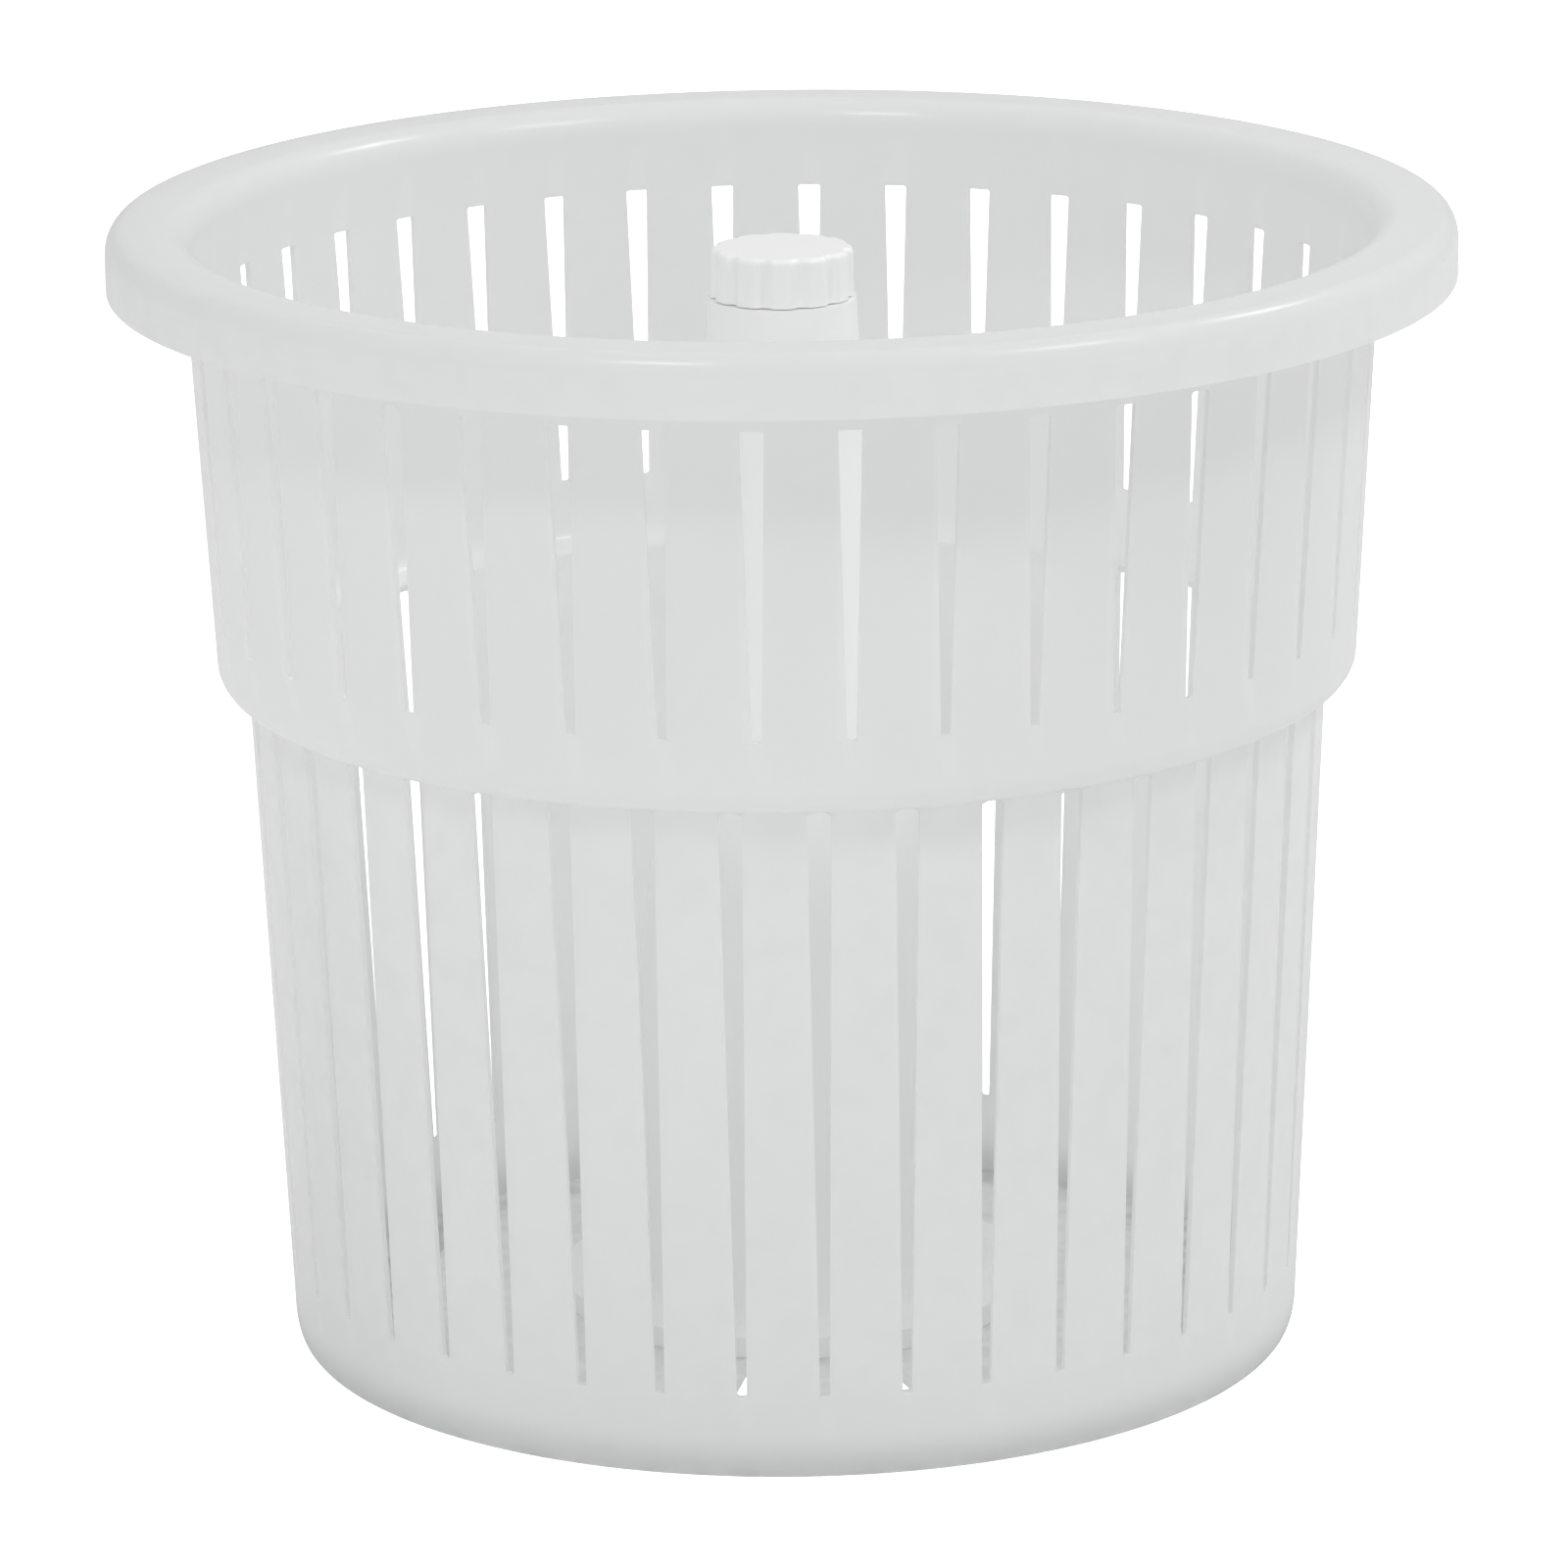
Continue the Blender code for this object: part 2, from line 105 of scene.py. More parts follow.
# Drive column and crown
TOP_RADIUS = 0.0210
NECK = (0.0226, 0.040)
FOOT_HEIGHT = 0.0075
FOOT_MARGIN = 0.012
COLUMN_WALL = 0.003
CAP = 0.012
SPIGOT = (0.0115, 0.006)
CROWN_RADIUS = 0.0202
TOOTH_COUNT = 12
TOOTH_DEPTH = 0.0013
CROWN_ROUND = 0.0018
INSERT_HOLE_WALL = 0.0019

# Screws: radius, length, head radius, head height
CROWN_SCREW = (0.0025, 0.0245, 0.0048, 0.0030)
FOOT_SCREW = (0.0020, 0.0075, 0.0040, 0.0023)
FOOT_INSERT = 0.005
CROWN_INSERT = 0.005
THREAD_PITCH = 0.0007

MERGE = 1e-6
TURN = math.tau

# Bends on the column: the neck's half length and pull, the foot's half length, reach and drop
NECK_BEND = (0.015, 0.0006)
FOOT_BEND = (0.006, 0.005, 0.0008)
FOOT_BEVEL = 0.0016
CAP_INSET = 0.0005

# Pivot: the bush's flange and clip shoulder, the sleeve's collar and groove, the ring widths
BUSH_FLANGE = (0.005, 0.0027)
BUSH_NECK_INSET = 0.007
COLLAR = (0.006, 0.0025)
SLEEVE_WALL = 0.0038
GROOVE_DEPTH = 0.0008
WASHER_WIDTH = 0.0057
CLIP_WIDTH = 0.0037
CLIP_OPENING = 0.0030
CLIP_STRETCH = 2.6

# Edge rounding
COLUMN_EDGE = 0.0004
RING_EDGE = 0.0002

# Shares and strengths in the finishes
PATCH_SHARE = 0.05
PALE_EDGE = 1.01
GLOSS_SHIFT = 0.03
PLASTIC_SCRATCH = 0.12
SKIN_BUMP = (0.015, 0.0001)
BRIGHT_EDGE = 1.12
RING_GLOSS = 0.16
METAL_SCRATCH = 0.2
RING_BUMP = (0.25, 0.00005)

rim_underside = rim_top - RIM_DEPTH
wall_radius = rim_radius - RIM_OVERHANG - WALL
shoulder_radius = wall_radius - UPPER_DRAFT * (rim_underside - SHOULDER_TOP)
shoulder_foot = SHOULDER_TOP - SHOULDER_STEP[1]
waist_radius = shoulder_radius - SHOULDER_STEP[0]
base_radius = waist_radius - LOWER_DRAFT * (shoulder_foot - BASE_ROUND[1])
floor_top = FLOOR_RISE + WALL
ring_inner = base_radius + WALL - BASE_ROUND[0] - STANDING_RING
step_inner = ring_inner - STEP_RUN
window_outer = step_inner - WINDOW_MARGIN
window_inner = foot_radius + WINDOW_INSET
column_top = crown_bottom - GAP
neck_bottom = column_top - NECK[1]
cone_bottom = foot_bottom + FOOT_HEIGHT
cone_radius = foot_radius - FOOT_MARGIN
cap_bottom = column_top - CAP


# ---------------------------------------------------------------- modelling by hand


def deselect():
    bpy.ops.object.select_all(action="DESELECT")


def activate(piece):
    deselect()
    piece.select_set(True)
    bpy.context.view_layer.objects.active = piece


def edit(piece):
    activate(piece)
    bpy.ops.object.mode_set(mode="EDIT")


def leave_edit():
    bpy.ops.object.mode_set(mode="OBJECT")


def settle(piece):
    """The piece's place goes into its mesh, so that its object sits at the origin."""
    activate(piece)
    bpy.ops.object.transform_apply(location=True, rotation=True, scale=True)


def pick(piece, kind, test):
    """In edit mode, selects only the vertices, edges or faces that pass the test; returns how many."""
    bpy.ops.mesh.select_mode(type=kind)
    bpy.ops.mesh.select_all(action="DESELECT")
    mesh = bmesh.from_edit_mesh(piece.data)
    items = {"VERT": mesh.verts, "EDGE": mesh.edges, "FACE": mesh.faces}[kind]
    found = [item for item in items if test(item)]
    for item in found:
        item.select_set(True)
    bmesh.update_edit_mesh(piece.data)
    return len(found)


def pick_all():
    bpy.ops.mesh.select_all(action="SELECT")


def centre_of(item):
    if hasattr(item, "calc_center_median"):
        return item.calc_center_median()
    return (item.verts[0].co + item.verts[1].co) / 2


def angle_of(point):
    """Degrees from the front, towards +X."""
    return math.degrees(math.atan2(point.x, -point.y)) % 360


def off_angle(point, phase, pitch):
    """How far the point is, in degrees, from the nearest of the places phase + n * pitch."""
    return abs((angle_of(point) - phase + pitch / 2) % pitch - pitch / 2)


def polar(radius, angle, z=0.0):
    turn = math.radians(angle)
    return Vector((radius * math.sin(turn), -radius * math.cos(turn), z))


def arc(centre, size, start, end, steps):
    """Points (radius, z) along part of an ellipse, without its first one."""
    turns = [math.radians(start + (end - start) * step / steps) for step in range(1, steps + 1)]
    return [(centre[0] + size[0] * math.cos(t), centre[1] + size[1] * math.sin(t)) for t in turns]


def blend(start, corner, end, steps):
    """Points (radius, z) on a soft bend from start to end, drawn towards the corner."""
    points = []
    for step in range(steps + 1):
        t = step / steps
        weights = ((1 - t) ** 2, 2 * t * (1 - t), t * t)
        points.append(
            tuple(sum(w * p[axis] for w, p in zip(weights, (start, corner, end))) for axis in (0, 1))
        )
    return points


def draw_outline(name, outline, angle=90.0):
    """A line through (radius, z) points in the half plane at this angle, drawn by extrusions."""
    points = [polar(radius, angle, z) for radius, z in outline]
    bpy.ops.mesh.primitive_plane_add(size=0.001, location=points[0])
    piece = bpy.context.active_object
    piece.name = name
    edit(piece)
    pick_all()
    bpy.ops.mesh.merge(type="CENTER")
    for here, there in zip(points, points[1:]):
        bpy.ops.mesh.extrude_vertices_move(TRANSFORM_OT_translate={"value": there - here})
    leave_edit()
    settle(piece)
    return piece


def turned(name, outline, steps):
    """A closed outline drawn and spun round Z; one that starts on the axis also ends there."""
    piece = draw_outline(name, outline)
    edit(piece)
    if outline[0][0] > 0:
        ends = [polar(radius, 90.0, z) for radius, z in (outline[0], outline[-1])]
        pick(piece, "VERT", lambda v: min((v.co - end).length for end in ends) < MERGE)
        bpy.ops.mesh.edge_face_add()
    pick_all()
    bpy.ops.mesh.spin(steps=steps, angle=TURN, center=(0, 0, 0), axis=(0, 0, 1))
    pick_all()
    bpy.ops.mesh.remove_doubles(threshold=MERGE)
    bpy.ops.mesh.normals_make_consistent(inside=False)
    leave_edit()
    return piece


def apply_modifier(piece, kind, **values):
    activate(piece)
    made = piece.modifiers.new(kind.title(), kind)
    for name, value in values.items():
        setattr(made, name, value)
    bpy.ops.object.modifier_apply(modifier=made.name)


def rod(radius, bottom, top, sides, place=(0, 0)):
    """A plain cylinder or prism to cut or join with."""
    middle = (place[0], place[1], (bottom + top) / 2)
    bpy.ops.mesh.primitive_cylinder_add(
        vertices=sides, radius=radius, depth=top - bottom, location=middle
    )
    return bpy.context.active_object


def move(piece, place):
    activate(piece)
    bpy.ops.transform.translate(value=place)
    settle(piece)


def cut_with(piece, cutter, operation="DIFFERENCE"):
    apply_modifier(piece, "BOOLEAN", operation=operation, solver="EXACT", object=cutter)
    bpy.data.objects.remove(cutter)


def round_edges(piece, width, angle=40.0, segments=2):
    apply_modifier(
        piece, "BEVEL", width=width, segments=segments, limit_method="ANGLE",
        angle_limit=math.radians(angle), harden_normals=False,
    )


def smooth(piece, angle=32.0):
    """Smooth shading up to the angle; large faces keep their direction beside rounded edges."""
    activate(piece)
    bpy.ops.object.shade_smooth_by_angle(angle=math.radians(angle))
    apply_modifier(piece, "WEIGHTED_NORMAL", weight=100, keep_sharp=True)


def finish_piece(piece, body, slot_name, surface, *stands_for):
    """Puts the material on, and says what the piece rides on and replaces; slot_name is not used."""
    piece.data.materials.clear()
    piece.data.materials.append(surface)
    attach(piece, body)
    if stands_for:
        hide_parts(*stands_for)


# ---------------------------------------------------------------- shared surface effects


def new_group(name, inputs, outputs):
    """A node group with its named sockets, and its input and output nodes."""
    group = bpy.data.node_groups.new(name, "ShaderNodeTree")
    for label, default in inputs.items():
        socket = group.interface.new_socket(
            name=label, in_out="INPUT", socket_type="NodeSocketFloat"
        )
        socket.default_value = default
    for label in outputs:
        group.interface.new_socket(name=label, in_out="OUTPUT", socket_type="NodeSocketFloat")
    return group, group.nodes.new("NodeGroupInput"), group.nodes.new("NodeGroupOutput")


def math_node(tree, operation, first, second, clamp=False):
    """A Math node; each operand is a socket or a number."""
    made = tree.nodes.new("ShaderNodeMath")
    made.operation = operation
    made.use_clamp = clamp
    for socket, value in zip(made.inputs, (first, second)):
        if isinstance(value, bpy.types.NodeSocket):
            tree.links.new(value, socket)
        else:
            socket.default_value = value
    return made.outputs[0]


def stretched_noise(tree, stretch, scale, detail, roughness=0.5):
    """Noise on object coordinates, stretched by the three numbers."""
    place = tree.nodes.new("ShaderNodeTexCoord")
    mapping = tree.nodes.new("ShaderNodeMapping")
    mapping.inputs["Scale"].default_value = stretch
    noise = tree.nodes.new("ShaderNodeTexNoise")
    noise.inputs["Detail"].default_value = detail
    noise.inputs["Roughness"].default_value = roughness
    tree.links.new(place.outputs["Object"], mapping.inputs["Vector"])
    tree.links.new(mapping.outputs["Vector"], noise.inputs["Vector"])
    if isinstance(scale, bpy.types.NodeSocket):
        tree.links.new(scale, noise.inputs["Scale"])
    else:
        noise.inputs["Scale"].default_value = scale
    return noise.outputs["Fac"]


def ramp(tree, value, low, high):
    """The value taken from low..high to 0..1."""
    made = tree.nodes.new("ShaderNodeMapRange")
    made.inputs["From Min"].default_value = low
    made.inputs["From Max"].default_value = high
    tree.links.new(value, made.inputs["Value"])
    return made.outputs["Result"]


def moulded_skin_group():
    """The faint orange peel and slow waviness of a moulded plastic wall."""
    group, entry, leave = new_group(
        "moulded_skin", {"Grain Scale": 900.0, "Wave Scale": 26.0, "Wave Share": 0.8},
        ("Height", "Gloss Shift"),
    )
    grain = stretched_noise(group, (1, 1, 1), entry.outputs["Grain Scale"], 2.0)
    wave = stretched_noise(group, (1, 1, 0.35), entry.outputs["Wave Scale"], 1.0)
    weighted = math_node(group, "MULTIPLY", wave, entry.outputs["Wave Share"])
    height = math_node(group, "ADD", grain, weighted)
    shift = math_node(group, "SUBTRACT", wave, 0.5)
    group.links.new(height, leave.inputs["Height"])
    group.links.new(shift, leave.inputs["Gloss Shift"])
    return group


def handling_marks_group():
    """Fine scratches, mostly up and down, in scattered patches."""
    group, entry, leave = new_group(
        "handling_marks", {"Scratch Scale": 60.0, "Patch Scale": 9.0}, ("Scratches",)
    )
    lines = stretched_noise(group, (22, 22, 0.6), entry.outputs["Scratch Scale"], 3.0, 0.7)
    fine = ramp(group, lines, 0.66, 0.74)
    spread = stretched_noise(group, (1, 1, 1), entry.outputs["Patch Scale"], 2.0)
    patches = ramp(group, spread, 0.52, 0.66)
    marks = math_node(group, "MULTIPLY", fine, patches)
    group.links.new(marks, leave.inputs["Scratches"])
    return group


def edge_wear_group():
    """Edges that have been rubbed: 1 on convex edges, broken up by noise."""
    group, entry, leave = new_group(
        "edge_wear", {"Break Up Scale": 120.0, "Reach": 0.06}, ("Edges",)
    )
    geometry = group.nodes.new("ShaderNodeNewGeometry")
    above = math_node(group, "SUBTRACT", geometry.outputs["Pointiness"], 0.5)
    near = math_node(group, "DIVIDE", above, entry.outputs["Reach"], clamp=True)
    spread = stretched_noise(group, (1, 1, 1), entry.outputs["Break Up Scale"], 3.0)
    broken = ramp(group, spread, 0.35, 0.6)
    edges = math_node(group, "MULTIPLY", near, broken)
    group.links.new(edges, leave.inputs["Edges"])
    return group


def machining_group():
    """The fine rings that a lathe leaves round a turned piece."""
    group, entry, leave = new_group("machining", {"Ring Scale": 2600.0}, ("Rings", "Height"))
    rings = stretched_noise(group, (0.02, 0.02, 1), entry.outputs["Ring Scale"], 2.0)
    group.links.new(rings, leave.inputs["Rings"])
    group.links.new(rings, leave.inputs["Height"])
    return group


GROUPS = {
    "skin": moulded_skin_group(),
    "marks": handling_marks_group(),
    "edges": edge_wear_group(),
    "machining": machining_group(),
}


def place_group(tree, key, **values):
    made = tree.nodes.new("ShaderNodeGroup")
    made.node_tree = GROUPS[key]
    for name, value in values.items():
        made.inputs[name.replace("_", " ")].default_value = value
    return made.outputs


def mixed_colour(tree, factor, first, second):
    """Colours or colour sockets mixed by a factor socket."""
    made = tree.nodes.new("ShaderNodeMix")
    made.data_type = "RGBA"
    tree.links.new(factor, made.inputs["Factor"])
    for socket, value in ((made.inputs[6], first), (made.inputs[7], second)):
        if isinstance(value, bpy.types.NodeSocket):
            tree.links.new(value, socket)
        else:
            socket.default_value = (*value, 1.0)
    return made.outputs[2]


def bump(tree, height, strength, distance):
    made = tree.nodes.new("ShaderNodeBump")
    made.inputs["Strength"].default_value = strength
    made.inputs["Distance"].default_value = distance
    tree.links.new(height, made.inputs["Height"])
    return made.outputs["Normal"]


def new_material(name, **values):
    """A material with its Principled shader, whose plain values are set by name."""
    made = bpy.data.materials.new(name)
    made.use_nodes = True
    shader = made.node_tree.nodes["Principled BSDF"]
    for label, value in values.items():
        shader.inputs[label.replace("_", " ")].default_value = value
    return made, made.node_tree, shader


def height_mask(tree, low, high):
    """0 at the height low and below, 1 at high and above."""
    place = tree.nodes.new("ShaderNodeTexCoord")
    parts = tree.nodes.new("ShaderNodeSeparateXYZ")
    tree.links.new(place.outputs["Object"], parts.inputs["Vector"])
    mask = ramp(tree, parts.outputs["Z"], low, high)
    mask.node.interpolation_type = "SMOOTHSTEP"
    return mask


def let_light_through(made, share, colour):
    """Mixes in a Translucent shader, so that a milky wall glows with the light behind it."""
    tree = made.node_tree
    shader = tree.nodes["Principled BSDF"]
    behind = tree.nodes.new("ShaderNodeBsdfTranslucent")
    both = tree.nodes.new("ShaderNodeMixShader")
    both.inputs["Fac"].default_value = share
    tree.links.new(colour, behind.inputs["Color"])
    tree.links.new(shader.outputs["BSDF"], both.inputs[1])
    tree.links.new(behind.outputs["BSDF"], both.inputs[2])
    tree.links.new(both.outputs["Shader"], tree.nodes["Material Output"].inputs["Surface"])


def moulded_plastic(name, light, deep, gloss, sheer=0.0, painted_shade_below=None):
    """A moulded plastic: light on most of it, deep in faint patches, and deep as painted shade towards
    the bottom, between the two heights given for it.

    sheer is the share of the light that each side of a wall lets through.
    """
    made, tree, shader = new_material(name, IOR=1.49)
    skin = place_group(tree, "skin")
    marks = place_group(tree, "marks")
    edges = place_group(tree, "edges")
    patches = ramp(tree, stretched_noise(tree, (1, 1, 0.5), 14.0, 2.0), 0.2, 0.8)
    faint = tuple(value + PATCH_SHARE * (other - value) for value, other in zip(light, deep))
    body = mixed_colour(tree, patches, light, faint)
    if painted_shade_below:
        # Painted shade: below the given heights the colour goes to deep, for the darker lower edge
        # that gets less light
        body = mixed_colour(tree, height_mask(tree, *painted_shade_below), deep, body)
    pale_edge = tuple(min(1.0, value * PALE_EDGE) for value in light)
    colour = mixed_colour(tree, edges["Edges"], body, pale_edge)
    shifted = math_node(tree, "MULTIPLY_ADD", skin["Gloss Shift"], GLOSS_SHIFT)
    shifted.node.inputs[2].default_value = gloss
    scratched = math_node(tree, "MULTIPLY", marks["Scratches"], PLASTIC_SCRATCH)
    roughness = math_node(tree, "ADD", shifted, scratched, clamp=True)
    tree.links.new(colour, shader.inputs["Base Color"])
    tree.links.new(roughness, shader.inputs["Roughness"])
    tree.links.new(bump(tree, skin["Height"], *SKIN_BUMP), shader.inputs["Normal"])
    if sheer:
        let_light_through(made, sheer, colour)
    return made


def turned_metal(name, light, dark, gloss):
    made, tree, shader = new_material(name, Metallic=1.0)
    rings = place_group(tree, "machining")
    marks = place_group(tree, "marks", Scratch_Scale=240.0, Patch_Scale=60.0)
    edges = place_group(tree, "edges")
    body = mixed_colour(tree, rings["Rings"], dark, light)
    bright = tuple(min(1.0, value * BRIGHT_EDGE) for value in light)
    tree.links.new(mixed_colour(tree, edges["Edges"], body, bright), shader.inputs["Base Color"])
    ringed = math_node(tree, "MULTIPLY_ADD", rings["Rings"], RING_GLOSS)
    ringed.node.inputs[2].default_value = gloss
    scratched = math_node(tree, "MULTIPLY", marks["Scratches"], METAL_SCRATCH)
    roughness = math_node(tree, "ADD", ringed, scratched, clamp=True)
    tree.links.new(roughness, shader.inputs["Roughness"])
    tree.links.new(bump(tree, rings["Height"], *RING_BUMP), shader.inputs["Normal"])
    return made


# ---------------------------------------------------------------- basket


def basket_outline():
    """The visible side of the wall, from the skirt's edge over the rim and down inside to the hub."""
    out_centre = (rim_radius - RIM_ROUND_OUT[0], rim_top - RIM_ROUND_OUT[1])
    in_centre = (wall_radius + RIM_ROUND_IN[0], rim_top - RIM_ROUND_IN[1])
    points = [(rim_radius, rim_underside), (rim_radius, out_centre[1])]
    points += arc(out_centre, RIM_ROUND_OUT, 0, 90, 8)
    points += [(in_centre[0], rim_top)]
    points += arc(in_centre, RIM_ROUND_IN, 90, 180, 8)
    for z in (UPPER_SLOT[0] + SLOT_MARGIN, *UPPER_SLOT, UPPER_SLOT[1] - SLOT_MARGIN):
        points.append((wall_radius - UPPER_DRAFT * (rim_underside - z), z))
    points.append((shoulder_radius, SHOULDER_TOP))
    points += arc((waist_radius, SHOULDER_TOP), SHOULDER_STEP, 0, -90, 8)
    for z in (LOWER_SLOT_FOOT, LOWER_SLOT_FOOT - SLOT_MARGIN, BASE_ROUND[1]):
        points.append((waist_radius - LOWER_DRAFT * (shoulder_foot - z), z))
    inner_round = (BASE_ROUND[0] - WALL, BASE_ROUND[1] - WALL)
    centre = (base_radius - inner_round[0], WALL + inner_round[1])
    points += arc(centre, inner_round, 0, -90, 8)
    points += [(ring_inner, WALL), (step_inner, floor_top), (window_outer, floor_top)]
    return points + [(window_inner, floor_top), (HUB_HOLE, floor_top)]


def cut_slot(piece, phase, top, foot):
    """Leaves one tapered slot open in a sector: two slanting cuts, and the faces between them go."""

    def in_row(face):
        return foot < centre_of(face).z < top

    def in_cell(face):
        return in_row(face) and off_angle(centre_of(face), phase, 360) < 180 / SECTORS / 3

    out = polar(1, phase)
    across = polar(1, phase + 90)
    for side in (-1, 1):
        upper = across * side * SLOT_WIDTHS[0] / 2 + Vector((0, 0, top))
        lower = across * side * SLOT_WIDTHS[1] / 2 + Vector((0, 0, foot))
        pick(piece, "FACE", in_cell)
        bpy.ops.mesh.bisect(
            plane_co=upper, plane_no=(upper - lower).cross(out).normalized(), threshold=MERGE
        )

    def in_slot(face):
        middle = centre_of(face)
        if not in_cell(face):
            return False
        share = (middle.z - foot) / (top - foot)
        width = SLOT_WIDTHS[1] + share * (SLOT_WIDTHS[0] - SLOT_WIDTHS[1])
        return abs(middle.dot(across)) < width / 2

    pick(piece, "FACE", in_slot)
    bpy.ops.mesh.delete(type="FACE")


def round_open_corners(piece, reach, test):
    """Rounds the corners of openings, at the boundary vertices that pass the test."""

    def is_corner(vert):
        rims = [edge for edge in vert.link_edges if edge.is_boundary]
        if len(rims) != 2 or not test(vert):
            return False
        sides = [edge.other_vert(vert).co - vert.co for edge in rims]
        return sides[0].angle(sides[1]) < math.radians(120)

    if pick(piece, "VERT", is_corner):
        bpy.ops.mesh.bevel(affect="VERTICES", offset=reach, segments=3)


def in_window(face):
    middle = centre_of(face)
    if not window_inner < middle.xy.length < window_outer or middle.z < FLOOR_RISE:
        return False
    return WINDOW_RIB / 2 < off_angle(middle, WINDOW_PHASE, WINDOW_PITCH) < WINDOW_SPAN / 2


def make_basket(surface):
    basket = draw_outline("basket_moulding", basket_outline(), GRID_START)
    edit(basket)
    pick_all()
    pitch = TURN / SECTORS
    bpy.ops.mesh.spin(steps=CELLS, angle=-pitch, center=(0, 0, 0), axis=(0, 0, 1))
    cut_slot(basket, UPPER_PHASE, *UPPER_SLOT)
    cut_slot(basket, LOWER_PHASE, shoulder_foot, LOWER_SLOT_FOOT)
    round_open_corners(
        basket, SLOT_CORNER,
        lambda v: min(off_angle(v.co, phase, 360) for phase in (UPPER_PHASE, LOWER_PHASE)) < 1.3
        and LOWER_SLOT_FOOT - MERGE < v.co.z < UPPER_SLOT[0] + MERGE
        and abs(v.co.z - shoulder_foot) > SLOT_MARGIN,
    )
    pick_all()
    bpy.ops.mesh.spin(
        steps=SECTORS - 1, dupli=True, angle=pitch - TURN, center=(0, 0, 0), axis=(0, 0, 1)
    )
    pick_all()
    bpy.ops.mesh.remove_doubles(threshold=MERGE)
    pick(basket, "FACE", in_window)
    bpy.ops.mesh.delete(type="FACE")
    round_open_corners(
        basket, WINDOW_CORNER,
        lambda v: window_inner - MERGE < v.co.xy.length < window_outer + MERGE and v.co.z > FLOOR_RISE,
    )
    pick_all()
    bpy.ops.mesh.normals_make_consistent(inside=False)
    leave_edit()
    apply_modifier(basket, "SOLIDIFY", thickness=WALL, offset=-1, use_even_offset=True)
    for place in foot_screw_places():
        cut_with(basket, rod(FOOT_SCREW[0] + GAP, 0, 2 * floor_top, 24, place))
    round_edges(basket, EDGE_ROUND)
    smooth(basket)
    finish_piece(basket, "basket", "basket_plastic", surface, "basket")
    return basket


# ---------------------------------------------------------------- column and crown


def foot_screw_places():
    """The foot screws' places on the floor, (x, y), as the frame has them."""
    boxes = [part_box(f"foot_screw_{number}") for number in range(1, 7)]
    return [((low + high) / 2).xy for low, high in boxes]


def make_column(surface):
    """The hollow cone: soft bends at the neck and above the foot, a six-sided spigot on top."""
    hole = CROWN_SCREW[0] + WALL
    slope = (cone_radius - NECK[0]) / (neck_bottom - cone_bottom)
    outline = [(hole, column_top), (TOP_RADIUS, column_top)]
    outline += blend(
        (NECK[0] - NECK_BEND[1], neck_bottom + NECK_BEND[0]), (NECK[0], neck_bottom),
        (NECK[0] + slope * NECK_BEND[0], neck_bottom - NECK_BEND[0]), 6,
    )
    outline += blend(
        (cone_radius - slope * FOOT_BEND[0], cone_bottom + FOOT_BEND[0]), (cone_radius, cone_bottom),
        (cone_radius + FOOT_BEND[1], cone_bottom - FOOT_BEND[2]), 6,
    )
    outline += [(foot_radius, cone_bottom - FOOT_BEVEL), (foot_radius, foot_bottom)]
    outline += [(cone_radius - COLUMN_WALL, foot_bottom), (NECK[0] - COLUMN_WALL, neck_bottom)]
    outline += [(TOP_RADIUS + CAP_INSET - COLUMN_WALL, cap_bottom), (hole, cap_bottom)]
    column = turned("column_moulding", outline, 128)
    cut_with(column, rod(SPIGOT[0], cap_bottom + WALL, column_top + SPIGOT[1], 6), "UNION")
    cut_with(column, rod(CROWN_SCREW[0] + GAP, cap_bottom - WALL, column_top + 2 * SPIGOT[1], 32))
    pocket = FOOT_SCREW[0] + INSERT_HOLE_WALL
    for place in foot_screw_places():
        top = foot_bottom + FOOT_INSERT + 2 * GAP
        cut_with(column, rod(pocket, foot_bottom - WALL, top, 24, place))
    round_edges(column, COLUMN_EDGE)
    smooth(column)
    finish_piece(column, "basket", "column_plastic", surface, "drive_column")


def make_crown(surface):
    """The toothed head: grooves drawn into a ring, pulled up, with a rounded top edge."""
    bpy.ops.mesh.primitive_circle_add(
        vertices=TOOTH_COUNT * 14, radius=CROWN_RADIUS, location=(0, 0, crown_bottom)
    )
    crown = bpy.context.active_object
    crown.name = "crown_moulding"
    settle(crown)
    edit(crown)
    pitch = 360 / TOOTH_COUNT
    for reach, depth in ((7.0, 0.15), (6.0, 0.45), (4.0, 0.4)):
        pick(crown, "VERT", lambda v: off_angle(v.co, pitch / 2, pitch) < reach)
        shrink = 1 - depth * TOOTH_DEPTH / CROWN_RADIUS
        bpy.ops.transform.resize(value=(shrink, shrink, 1), center_override=(0, 0, 0))
    pick_all()
    bpy.ops.mesh.edge_face_add()
    height = crown_top - CROWN_ROUND - crown_bottom
    bpy.ops.mesh.extrude_region_move(TRANSFORM_OT_translate={"value": (0, 0, height)})
    inward, z = 0.0, 0.0
    for step in range(1, 7):
        turn = math.radians(15 * step)
        there = CROWN_ROUND * (1 - math.cos(turn)), CROWN_ROUND * math.sin(turn)
        shrink = (CROWN_RADIUS - there[0]) / (CROWN_RADIUS - inward)
        bpy.ops.mesh.extrude_region_move(TRANSFORM_OT_translate={"value": (0, 0, there[1] - z)})
        bpy.ops.transform.resize(value=(shrink, shrink, 1), center_override=(0, 0, crown_top))
        inward, z = there
    pick_all()
    bpy.ops.mesh.normals_make_consistent(inside=False)
    leave_edit()
    socket_top = column_top + SPIGOT[1] + GAP
    cut_with(crown, rod(SPIGOT[0] + 2 * GAP, crown_bottom - WALL, socket_top, 6))
    bore = CROWN_SCREW[0] + INSERT_HOLE_WALL
    cut_with(crown, rod(bore, socket_top - WALL, socket_top + CROWN_INSERT + 2 * GAP, 32))
    smooth(crown, 38)
    finish_piece(crown, "basket", "column_plastic", surface, "drive_crown")


# ---------------------------------------------------------------- screws and pivot


